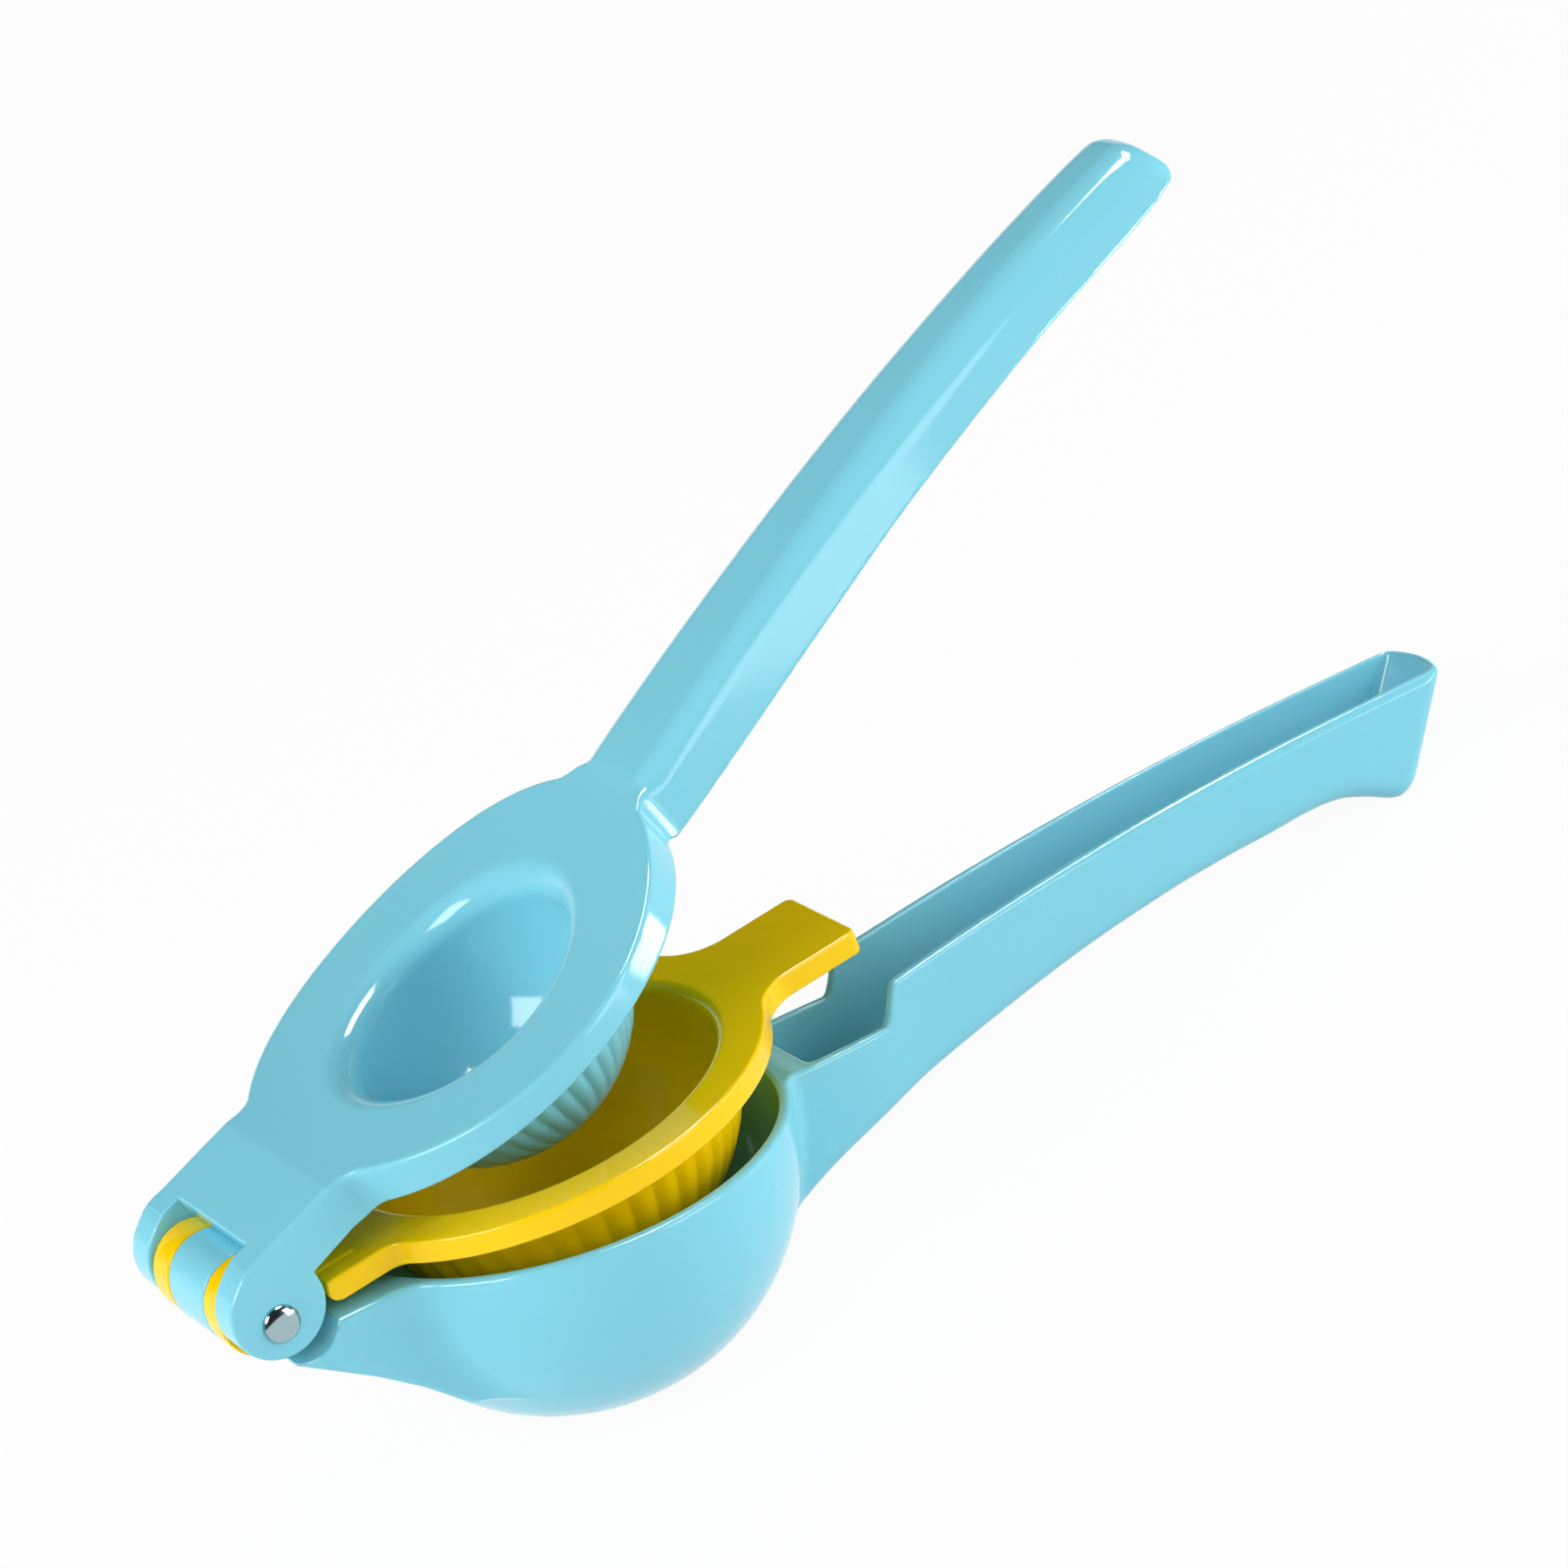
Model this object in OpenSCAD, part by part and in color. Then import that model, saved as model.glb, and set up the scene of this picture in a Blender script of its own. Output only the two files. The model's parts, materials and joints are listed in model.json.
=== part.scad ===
// Hinged lemon squeezer: a deep lower bowl with a channel handle, a fluted
// lime cup that lies in it, and a fluted press whose two ears close the hinge.
// Every piece is drawn closed, with the hinge pin along Y through the origin,
// the handles towards +X and the bowl rims level. Then the whole is tipped
// onto its resting pad and the cup and the press are swung open.

/* [Pose] */
// How far the lime cup stands open from the lower bowl, in degrees
cup_open = 6.71; // [1:0.01:40]
// How far the press stands open from the lime cup, in degrees
press_open = 18.52; // [2:0.01:60]
// Tilt at which the bowl and the handle's foot both rest on the table
rest_tilt = 12.1; // [11.5:0.1:12.5]

/* [Lower bowl] */
// Outer radius of the bowl at its rim
bowl_r = 38; // [37:0.1:39]
// Depth of the bowl below its rim
bowl_depth = 39.3; // [38.5:0.1:40]
// Fullness of the bowl's profile: 2 is an ellipse
bowl_power = 2.08; // [2:0.02:2.3]
// Wall thickness of the bowl
bowl_wall = 2.1; // [1.6:0.1:2.6]
// Thickness of the bowl's floor, over its resting pad
bowl_floor = 4.2; // [3.6:0.1:5]
// Distance from the hinge pin to the middle of the bowl
bowl_x = 54.15; // [54:0.05:54.5]
// Height of the bowl's rim from the hinge pin
rim_z = -3.52; // [-3.8:0.01:-3.4]
// Depth of the flat that the bowl rests on
pad_depth = 1.8; // [1.5:0.1:2.2]
// Radius of each drain hole in the bowl
bowl_hole_r = 1.6; // [1.2:0.1:1.8]

/* [Lime cup] */
// Outer radius of the cup's flange
cup_flange_r = 38.1; // [37.5:0.1:38.5]
// Thickness of the cup's flange
cup_flange_t = 3.94; // [3.5:0.01:4.2]
// Radius of the cup's mouth
cup_mouth_r = 29.8; // [29:0.1:30.5]
// Outer radius of the fluted cup
cup_r = 31.5; // [31:0.1:32]
// Depth of the cup below its flange
cup_depth = 28; // [26:0.1:29]
// Reach of the thumb tab from the hinge pin
tab_end = 109.3; // [107:0.1:109.5]
// Half the width of the thumb tab
tab_half = 10.7; // [9:0.1:11]
// Half the width of the cup's shoulders at the hinge
shoulder_half = 17.2; // [16.5:0.1:17.5]

/* [Press] */
// Outer radius of the press flange
press_flange_r = 38.1; // [37.5:0.1:38.5]
// Thickness of the press flange at its middle, where it is thinnest
press_flange_t = 4.54; // [4:0.01:5]
// Outer radius of the fluted dome
dome_r = 24.5; // [23.5:0.1:25.5]
// Depth of the dome below its flange
dome_depth = 24.3; // [23:0.1:25]
// Inner radius of the recess in the dome
recess_r = 20.2; // [19.5:0.1:21.5]

/* [Flutes] */
// Number of flutes round the cup and round the dome
flutes = 44; // [36:1:48]
// Depth of a flute
flute_d = 0.55; // [0.3:0.05:0.8]

/* [Handles] */
// Reach of the handles from the hinge pin
handle_end = 223.5; // [220:0.1:226]
// Wall thickness of the channel handles
handle_wall = 1.8; // [1.5:0.1:2.2]

/* [Hinge] */
// Overall width of the hinge
hinge_w = 37.4; // [36:0.1:38]
// Radius of the hinge pin
pin_r = 2.25; // [2:0.05:2.5]
// Radius of the pin's domed head
pin_head_r = 2.95; // [2.7:0.05:3.2]
// Running clearance round the pin
pin_gap = 0.05; // [0.02:0.01:0.1]
// Radius of the middle knuckle, on the lower bowl
knuckle_r = 7.1; // [6.8:0.1:7.2]
// Radius of the two knuckles of the lime cup
cup_knuckle_r = 6.8; // [6.5:0.1:6.9]
// Radius of the press's ears
ear_r = 7.56; // [7.3:0.02:7.7]

/* [Hidden] */
$fn = 96;
eps = 0.01;
blue = [0.42, 0.78, 0.87];
yellow = [0.95, 0.78, 0.0];
steel = [0.8, 0.8, 0.82];

// Knuckle stack: half widths where the middle knuckle, the cup's knuckles
// and the ears begin and end
middle_half = 6.45;
cup_in = 6.65;
cup_out = 12.35;
ear_in = 12.55;
hinge_half = hinge_w / 2;
// The ears are rounded about a point a little above and ahead of the pin
ear_centre = [1.2, 1.59];

shoulder_x = 8.4;
shoulder_round = 2.8;

// Heights, from the pin, of the faces of the closed squeezer
cup_top = 0.86;
cup_bottom = cup_top - cup_flange_t;
press_bottom = 1.06;
press_top = press_bottom + press_flange_t;
neck_top = 9.15;
neck_bottom = 1.5;
// Rise of the flange's top, from its middle towards the neck and the handle
dish = 0.0027;
cup_x = 54.46;
press_x = 55.66;
dome_x = 55.2;

// Where the bowl touches the table when the whole is tipped
tilt_m = bowl_power / (bowl_power - 1);
tilt_a = bowl_r * sin(rest_tilt);
tilt_b = bowl_depth * cos(rest_tilt);
tilt_h = pow(pow(tilt_a, tilt_m) + pow(tilt_b, tilt_m), 1 / tilt_m);
pad_x = bowl_x + bowl_r * pow(tilt_a / tilt_h, tilt_m - 1);
pad_z = rim_z - bowl_depth * pow(tilt_b / tilt_h, tilt_m - 1);
rest_x = pad_x * cos(rest_tilt) + pad_z * sin(rest_tilt);
rest_z = pad_x * sin(rest_tilt) - pad_z * cos(rest_tilt) - pad_depth;

// Outline points of the handles, from the pin: [distance, height]
under_line = [[78, -31], [92, -24], [104, -19.4], [118, -14.8], [144, -9.3], [164, -6.7],
              [182, -5.5], [192, -4.5], [198, -4.9], [203, -6.7], [208, -8.9], [214, -8.9]];
floor_line = [[78, -29], [92, -21.8], [104, -17.2], [118, -12.6], [144, -7.1], [164, -4.5],
              [182, -3.3], [214, -1.5]];
crown_line = [[78, 5.9], [88, 8.1], [96, 10.3], [130, 15.4], [160, 18.5], [190, 19.9], [212, 20.3],
              [224, 19.5]];
edge_line = [[78, -0.8], [92, -0.5], [104, 0.7], [130, 4.1], [152, 6.9], [172, 8.5],
             [190, 9.3], [215, 9.5], [224, 11]];
width_line = [[84, 11.6], [96, 11.1], [106, 10.8], [114, 10.0], [124, 9.6], [152, 9.0],
              [190, 8.6], [224, 8.2]];
press_width_line = [[78, 10.3], [100, 10], [130, 9.3], [160, 8.8], [190, 8.4], [224, 8]];
crest = [204, 9.1];
crest_drop = 0.00085;
low_wall_z = -4;
step_from = 108.9;
step_to = 113;
end_lean = 10;
end_round = 6.5;
press_end_lean = 4.3;

function mix(a, b, t) = a + (b - a) * t;
function ease(t) = let (u = max(0, min(1, t))) u * u * (3 - 2 * u);

// Height at x of a smooth curve through the points of a list
function curve(line, x) =
    let (last = len(line) - 1,
         i = max([for (k = [0:last - 1]) if (k == 0 || line[k][0] <= x) k]),
         a = line[max(i - 1, 0)], b = line[i], c = line[i + 1], d = line[min(i + 2, last)],
         h = c[0] - b[0], t = (x - b[0]) / h,
         slope_b = h * (c[1] - a[1]) / (c[0] - a[0]),
         slope_c = h * (d[1] - b[1]) / (d[0] - b[0]))
    b[1] * (1 + 2 * t) * pow(1 - t, 2) + slope_b * t * pow(1 - t, 2)
    + c[1] * t * t * (3 - 2 * t) - slope_c * t * t * (1 - t);

// Closed outline, as [across, height], of a block with rounded corners
function block_outline(half, top, bottom, top_r, bottom_r, steps = 4) =
    concat([for (k = [0:steps]) let (a = 90 * k / steps)
                [half - top_r * (1 - cos(a)), top - top_r * (1 - sin(a))]],
           [for (k = [0:steps]) let (a = 90 + 90 * k / steps)
                [-half + top_r * (1 + cos(a)), top - top_r * (1 - sin(a))]],
           [for (k = [0:steps]) let (a = 180 + 90 * k / steps)
                [-half + bottom_r * (1 + cos(a)), bottom + bottom_r * (1 + sin(a))]],
           [for (k = [0:steps]) let (a = 270 + 90 * k / steps)
                [half - bottom_r * (1 - cos(a)), bottom + bottom_r * (1 + sin(a))]]);

// Solid through a row of closed outlines, each given as a list of points
module loft(rings) {
    n = len(rings[0]);
    last = len(rings) - 1;
    polyhedron(
        points = [for (ring = rings) each ring],
        faces = concat(
            [[for (k = [0:n - 1]) k]],
            [[for (k = [n - 1:-1:0]) last * n + k]],
            [for (i = [0:last - 1]) for (k = [0:n - 1])
                [i * n + k, (i + 1) * n + k, (i + 1) * n + (k + 1) % n]],
            [for (i = [0:last - 1]) for (k = [0:n - 1])
                [i * n + k, (i + 1) * n + (k + 1) % n, i * n + (k + 1) % n]]),
        convexity = 6);
}

// Half width left at x by the rounded end of a handle that ends at stop
function rounded_end(half, x, stop, r) =
    let (u = max(0, min(0.97, (x - stop + r) / r))) half - r * (1 - sqrt(1 - u * u));

// Stations along a handle, closer together at the step and at the end
function stations(from, stop) =
    concat([for (x = [from:6:104]) x], [for (k = [0:5]) mix(step_from - 1, step_to + 1.5, k / 5)],
           [for (k = [1:12]) mix(step_to + 1.5, stop - end_round, k / 12)],
           [for (k = [1:5]) stop - end_round * (1 - sin(18 * k))]);

// Top of the channel's walls: low by the bowl, a step, then a long arch
function wall_top(x) =
    mix(low_wall_z, crest[1] - crest_drop * pow(crest[0] - x, 2),
        ease((x - step_from) / (step_to - step_from)));

// Superellipse profile of the bowl: radius at a depth below the rim
function bowl_radius(depth, r, h) = r * pow(1 - pow(depth / h, bowl_power), 1 / bowl_power);

module along_y(half) {
    rotate([90, 0, 0]) linear_extrude(2 * half, center = true) children();
}

// A bore or a knuckle on the hinge's axis, between two places across it
module hinge_ring(r, from, to) {
    translate([0, to, 0]) rotate([90, 0, 0]) cylinder(r = r, h = to - from);
}

module both_sides() {
    children();
    mirror([0, 1, 0]) children();
}

module resting() {
    translate([-rest_x, 0, rest_z]) rotate([0, rest_tilt, 0]) children();
}

module cup_swung() {
    resting() rotate([0, -cup_open, 0]) children();
}

module press_swung() {
    cup_swung() rotate([0, -press_open, 0]) children();
}

// ---- Lower body ----

module bowl_outside() {
    steps = 22;
    lip = 1.1;
    translate([bowl_x, 0, rim_z]) rotate_extrude()
        polygon(concat(
            [[0, 0], [bowl_r - lip, 0]],
            [for (k = [1:3]) let (a = 90 - 30 * k)
                [bowl_r - lip * (1 - cos(a)), -lip * (1 - sin(a))]],
            [for (k = [3:steps]) let (d = bowl_depth * sin(90 * k / steps))
                [bowl_radius(d, bowl_r, bowl_depth), -d]]));
}

module bowl_inside() {
    steps = 20;
    lip = 0.9;
    r = bowl_r - bowl_wall;
    h = bowl_depth - bowl_floor;
    translate([bowl_x, 0, rim_z]) rotate_extrude()
        polygon(concat(
            [[0, 1], [r + lip, 1], [r + lip, 0]],
            [for (k = [1:3]) let (a = 90 - 30 * k)
                [r + lip * (1 - cos(a)), -lip * (1 - sin(a))]],
            [for (k = [2:steps]) let (d = h * sin(90 * k / steps))
                [bowl_radius(d, r, h), -d]]));
}

module handle_outside() {
    loft([for (x = stations(80, handle_end))
        let (lean = end_lean * ease((x - 186) / 38),
             top = wall_top(x),
             bottom = curve(under_line, x - lean),
             flare = 7 * pow(max(0, (96 - x) / 12), 2),
             half = rounded_end(curve(width_line, max(x, 84)), x, handle_end, end_round))
        [for (p = block_outline(half, top, bottom, 0.7, 3))
            [x - lean * (top - p[1]) / (top - bottom),
             p[0] * (1 + flare / half * (1 - ease((top - p[1]) / 14))), p[1]]]]);
}

module handle_channel() {
    from = 95.8;
    stop = handle_end - handle_wall;
    loft([for (x = concat([from, from + 1.5], [for (s = stations(104, stop)) s]))
        let (lean = end_lean * ease((x - 186) / 38) - (x < 104 ? 3 * (104 - x) / 8 : 0),
             top = 14,
             bottom = curve(floor_line, x),
             corner = x < from + 1 ? 1.5 : 0,
             half = rounded_end(curve(width_line, x) - handle_wall - corner, x, stop,
                                end_round - handle_wall))
        [for (p = block_outline(half, top, bottom, 0.5, 1.8, 3))
            [x - lean * (wall_top(x) - p[1]) / (top - bottom), p[0], p[1]]]]);
}

// The neck between the bowl and the hinge: a ramp below, a level top
module lower_neck() {
    intersection() {
        along_y(hinge_half)
            polygon([[0.6, -7.3], [7.4, -11.9], [12.2, -15.1], [18.2, -19.8], [24, -25.4],
                     [30, -28], [40, -28], [40, rim_z], [0, rim_z]]);
        translate([0, 0, rim_z]) rotate([90, 0, 90]) linear_extrude(60)
            polygon(block_outline(hinge_half, 0, -40, 1.8, 1.5, 5));
    }
}

module lower_body() {
    color(blue) resting() difference() {
        union() {
            bowl_outside();
            handle_outside();
            difference() {
                lower_neck();
                both_sides() hinge_ring(cup_knuckle_r + 0.35, middle_half, ear_in + eps);
                both_sides() ear_pocket();
            }
            hinge_ring(knuckle_r, -middle_half, middle_half);
            along_y(middle_half) polygon([[0, -knuckle_r], [3, -6.4], [8, -12.2], [12, -14],
                                          [12, rim_z], [0, rim_z]]);
        }
        bowl_inside();
        handle_channel();
        hinge_ring(pin_r + pin_gap, -middle_half - 1, middle_half + 1);
        bowl_holes();
        table();
    }
}

// Room for an ear of the press in the side of the neck
module ear_pocket() {
    translate([0, hinge_half + 1, 0]) rotate([90, 0, 0]) linear_extrude(hinge_half + 1 - ear_in) {
        translate([3.1, -2.4]) circle(5.4);
        polygon([[-9, -2.4], [8.5, -2.4], [8.5, 9], [-9, 9]]);
        polygon([[-9, -7], [0.2, -7], [3.1, -2.4], [-9, -2.4]]);
    }
}

module bowl_holes() {
    translate([bowl_x, 0, -60]) {
        cylinder(r = bowl_hole_r, h = 30);
        for (k = [0:5]) rotate(60 * k + 30) translate([6, 0, 0]) cylinder(r = bowl_hole_r, h = 30);
    }
}

// Everything below the table, which trims the pad and the foot
module table() {
    rotate([0, -rest_tilt, 0]) translate([0, -100, -rest_z - 50]) cube([260, 200, 50]);
}

// ---- Fluted shells of the lime cup and the press ----

// Half an ellipsoid with flutes that fade towards its bottom
module fluted_bowl(r, h, top) {
    per_flute = 3;
    n = flutes * per_flute;
    rings = 9;
    function flute(k, t) = flute_d * (1 - ease(t * 1.25 - 0.2)) * (k % per_flute == 0 ? 1 : 0);
    loft(concat(
        [for (i = [rings:-1:0]) let (t = i / (rings + 0.6), d = 90 * t)
            [for (k = [0:n - 1]) let (a = 360 * k / n, s = (r - flute(k, t)) * cos(d))
                [s * cos(a), s * sin(a), -h * sin(d)]]],
        [[for (k = [0:n - 1]) let (a = 360 * k / n)
            [(r - flute(k, 0)) * cos(a), (r - flute(k, 0)) * sin(a), top]]]));
}

module ellipsoid_inside(r, h, top, top_r) {
    steps = 20;
    rotate_extrude()
        polygon(concat([[0, top], [top_r, top]],
                       [for (k = [0:steps]) let (a = 90 * k / steps) [r * cos(a), -h * sin(a)]]));
}

// ---- Lime cup ----

module cup_plan() {
    difference() {
        union() {
            translate([cup_x, 0]) circle(cup_flange_r, $fn = 180);
            translate([shoulder_x, -shoulder_half]) square([24, 2 * shoulder_half]);
            tab_plan();
        }
        translate([0, -middle_half - 0.2]) square([7.6, 2 * middle_half + 0.4]);
    }
}

// The thumb tab, with a fillet where it leaves the flange
module tab_plan() {
    near_r = 3;
    fillet_r = 5;
    fillet_y = tab_half + fillet_r;
    fillet_x = cup_x + sqrt(pow(cup_flange_r + fillet_r, 2) - pow(fillet_y, 2));
    difference() {
        union() {
            translate([60, -tab_half]) square([tab_end - near_r - 60, 2 * tab_half]);
            translate([60, -tab_half + near_r]) square([tab_end - 60, 2 * (tab_half - near_r)]);
            for (s = [-1, 1]) translate([tab_end - near_r, s * (tab_half - near_r)]) circle(near_r);
            translate([fillet_x - 12, -fillet_y]) square([12, 2 * fillet_y]);
        }
        for (s = [-1, 1]) translate([fillet_x, s * fillet_y]) circle(fillet_r);
    }
}

module cup_flange() {
    lip = 0.7;
    difference() {
        translate([0, 0, cup_bottom]) linear_extrude(cup_flange_t) cup_plan();
        // soft inner edge of the mouth
        translate([cup_x, 0, cup_top]) rotate_extrude($fn = 128)
            difference() {
                polygon([[0, -2], [cup_mouth_r, -2], [cup_mouth_r + 2, 0], [cup_mouth_r + 2, 1], [0, 1]]);
                translate([cup_mouth_r + 2, -2]) circle(2, $fn = 48);
            }
        // rounded lower corner of the shoulders, over the hinge
        translate([shoulder_x + shoulder_round, 0, cup_bottom + shoulder_round])
            along_y(hinge_half) difference() {
                translate([-shoulder_round - 1, -shoulder_round - 1]) square(shoulder_round + 1);
                circle(shoulder_round);
            }
    }
}

module cup_ears() {
    both_sides() {
        hinge_ring(cup_knuckle_r, cup_in, cup_out);
        translate([0, cup_in, cup_bottom]) cube([14, cup_out - cup_in, cup_flange_t]);
    }
}

module lime_cup() {
    wall = 1.7;
    color(yellow) cup_swung() difference() {
        union() {
            cup_flange();
            cup_ears();
            translate([cup_x, 0, -2.4]) fluted_bowl(cup_r, cup_depth, 1);
        }
        translate([cup_x, 0, -2.4]) ellipsoid_inside(cup_mouth_r, cup_depth - wall, 4, cup_mouth_r);
        hinge_ring(knuckle_r + 0.4, -middle_half - 0.2, middle_half + 0.2);
        both_sides() translate([0, hinge_half + 1, 0]) rotate([90, 0, 0])
            linear_extrude(hinge_half + 1 - cup_out) translate(ear_centre) circle(ear_r + 0.34);
        hinge_ring(pin_r + pin_gap, -hinge_half, hinge_half);
        cup_holes();
    }
}

module cup_holes() {
    translate([cup_x, 0, -45]) {
        cylinder(r = 1.7, h = 25);
        for (k = [0:5]) rotate(60 * k) translate([6.5, 0, 0]) cylinder(r = 1.7, h = 25);
        for (k = [0:11]) rotate(30 * k + 15) translate([12, 0, 0]) cylinder(r = 1.7, h = 25);
    }
}

// ---- Press ----

// Height of the flange's top, which rises from the middle to the neck and the handle
function press_dish(x) = press_top + dish * pow(x - press_x, 2);

module press_flange() {
    edge = 0.9;
    loft([for (a = [153:-3:12])
        let (x = press_x + press_flange_r * cos(a), half = press_flange_r * sin(a))
        [for (p = block_outline(half, press_dish(x), press_bottom, edge, edge, 3))
            [x, p[0], p[1]]]]);
}

module press_recess() {
    lip = 5.3;
    h = dome_depth - 3;
    translate([dome_x, 0, press_bottom]) rotate_extrude($fn = 128)
        polygon(concat(
            [[0, 9], [recess_r + lip + 2.3, 9]],
            [for (k = [0:5]) let (a = 58 - 11.6 * k)
                [recess_r + lip - lip * cos(a), press_flange_t - lip + lip * sin(a)]],
            [for (k = [1:18]) let (a = 5 * k) [recess_r * cos(a), -h * sin(a)]]));
}

module press_handle_outside() {
    loft([for (x = concat([84, 88, 90, 91.5, 93, 94.5], [for (s = stations(96, handle_end)) s]))
        let (top = curve(crown_line, x) - 1.6 * pow(max(0, (x - 217) / 6.5), 2),
             bottom = mix(press_bottom + 0.4, curve(edge_line, x), ease((x - 91) / 3)),
             round = mix(3.5, 6, ease((x - 96) / 110)),
             flare = 3 * pow(max(0, (98 - x) / 6), 2),
             lean = press_end_lean * ease((x - 194) / 29),
             half = rounded_end(min(curve(press_width_line, x) + flare, 18), x, handle_end,
                                end_round))
        [for (p = block_outline(half, top, bottom, min(round, half - 0.5), 0.5, 5))
            [x - lean * (p[1] - bottom) / (top - bottom), p[0], p[1]]]]);
}

module press_handle_hollow() {
    stop = handle_end - handle_wall;
    loft([for (x = concat([96, 98], [for (s = stations(104, stop)) s]))
        let (top = curve(crown_line, x) - 2.2 - 1.6 * pow(max(0, (x - 215) / 6.5), 2),
             bottom = curve(edge_line, x) - 4,
             lean = press_end_lean * ease((x - 194) / 29),
             half = rounded_end(curve(press_width_line, x) - handle_wall, x, stop,
                                end_round - handle_wall))
        [for (p = block_outline(half, top, bottom, min(3, half - 0.4), 0.4, 3))
            [x - lean * (p[1] - bottom - 4) / (top - bottom - 4), p[0], p[1]]]]);
}

// Side view of the neck and the ears
module neck_side() {
    translate(ear_centre) circle(ear_r);
    polygon([[1.2, neck_top], [18.2, neck_top], [19.5, 9.05], [22, 8.6], [26, 7.9], [34, 6.7],
             [34, neck_bottom], [ear_centre[0], neck_bottom]]);
}

module press_neck() {
    intersection() {
        along_y(hinge_half) neck_side();
        translate([-20, 0, 0]) rotate([90, 0, 90]) linear_extrude(60)
            polygon(block_outline(hinge_half, neck_top, -15, 2.2, 0.8, 5));
    }
}

module press() {
    color(blue) press_swung() difference() {
        union() {
            press_flange();
            press_handle_outside();
            press_neck();
            translate([dome_x, 0, press_bottom + 0.5]) fluted_bowl(dome_r, dome_depth - 0.5, 1);
        }
        press_recess();
        press_handle_hollow();
        // slot for the middle knuckle and the cup's knuckles
        translate([-20, -ear_in, -20]) cube([25.1, 2 * ear_in, 40]);
        translate([-20, -ear_in, -20]) cube([34, 2 * ear_in, 20 + neck_bottom]);
        hinge_ring(knuckle_r + 0.35, -ear_in, ear_in);
        hinge_ring(pin_r + 0.02, -hinge_half - 1, hinge_half + 1);
    }
}

// ---- Hinge pin and its cap ----

module dome_head(r, height) {
    ball_r = (r * r + height * height) / (2 * height);
    rotate_extrude() intersection() {
        translate([0, height - ball_r]) circle(ball_r, $fn = 128);
        square([r, height]);
    }
}

module hinge_pin() {
    color(steel) press_swung() {
        hinge_ring(pin_r, -hinge_half - 0.1, hinge_half - 0.1);
        translate([0, -hinge_half - 0.02, 0]) rotate([90, 0, 0]) dome_head(pin_head_r, 1.25);
    }
}

module pin_cap() {
    color(steel) press_swung() translate([0, hinge_half + 0.02, 0]) rotate([-90, 0, 0])
        dome_head(pin_head_r, 1.25);
}

lower_body();
lime_cup();
press();
hinge_pin();
pin_cap();
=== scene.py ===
"""Looks of a hinged lemon squeezer: three enamelled castings on one domed steel pin.

Each casting is described as a solid in millimetres, closed, with the hinge pin along Y through the
origin, the handles towards +X and the rims level. A solid is a function that gives the distance
from its surface, so castings join with true fillets. Its mesh is drawn through the zero distance
and is then swung and tipped into the frame's resting place.
"""

import json
import math

import bpy
import numpy as np
from mathutils import Matrix, Vector


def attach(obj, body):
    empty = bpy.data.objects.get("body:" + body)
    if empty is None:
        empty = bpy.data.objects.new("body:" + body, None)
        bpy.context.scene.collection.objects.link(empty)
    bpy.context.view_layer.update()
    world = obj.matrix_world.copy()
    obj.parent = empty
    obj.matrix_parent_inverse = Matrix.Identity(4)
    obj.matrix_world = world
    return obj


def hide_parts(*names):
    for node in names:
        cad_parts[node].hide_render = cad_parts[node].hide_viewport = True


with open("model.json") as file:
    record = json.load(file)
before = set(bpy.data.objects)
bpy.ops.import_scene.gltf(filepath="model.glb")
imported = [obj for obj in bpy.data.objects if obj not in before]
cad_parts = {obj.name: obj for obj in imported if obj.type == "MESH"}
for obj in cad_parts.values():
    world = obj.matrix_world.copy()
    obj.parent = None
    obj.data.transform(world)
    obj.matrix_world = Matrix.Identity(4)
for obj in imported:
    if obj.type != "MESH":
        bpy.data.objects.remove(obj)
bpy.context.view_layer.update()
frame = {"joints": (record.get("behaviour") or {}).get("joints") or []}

MM = 0.001

# ---- Pose, as in the CAD ----

REST_TILT = math.radians(12.1)
CUP_OPEN = math.radians(6.71)
PRESS_OPEN = math.radians(18.52)
HINGE = Vector(frame["joints"][0]["pos_m"])


def swung(angle):
    """From closed millimetres to the frame: open by angle about the pin, then tipped to rest."""
    turn = Matrix.Rotation(REST_TILT, 4, "Y") @ Matrix.Rotation(-angle, 4, "Y")
    return Matrix.Translation(HINGE) @ turn @ Matrix.Scale(MM, 4)


# ---- Camera, at the photograph's viewing angle ----

VIEW_AZIMUTH = math.radians(-23.36)
VIEW_ELEVATION = math.radians(21.59)
VIEW_ROLL = math.radians(-15.96)
VIEW_DISTANCE = 925.0
VIEW_RIGHT = 82.21
VIEW_UP = 74.69
SENSOR = 36.0
LENS = 143.0
CLIP_END = 20


def make_camera():
    """The photograph's camera, placed in millimetres from the pin in the lower body's directions."""
    az, el = VIEW_AZIMUTH, VIEW_ELEVATION
    back = Vector((math.sin(az) * math.cos(el), -math.cos(az) * math.cos(el), math.sin(el)))
    level = Vector((math.cos(az), math.sin(az), 0))
    up = back.cross(level)
    right = level * math.cos(VIEW_ROLL) + up * math.sin(VIEW_ROLL)
    up = back.cross(right)
    place = right * VIEW_RIGHT + up * VIEW_UP + back * VIEW_DISTANCE
    turn = Matrix((right, up, back)).transposed().to_4x4()
    data = bpy.data.cameras.new("camera")
    data.sensor_width = SENSOR
    data.lens = LENS
    data.clip_end = CLIP_END
    camera = bpy.data.objects.new("camera", data)
    bpy.context.scene.collection.objects.link(camera)
    to_frame = Matrix.Rotation(REST_TILT, 4, "Y")
    camera.matrix_world = Matrix.Translation(HINGE + to_frame @ (place * MM)) @ to_frame @ turn
    bpy.context.scene.camera = camera


# ---- Solids as distances, in millimetres ----

FAR = 9  # stands for any distance that only has to be large
TINY = 1e-6


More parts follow.
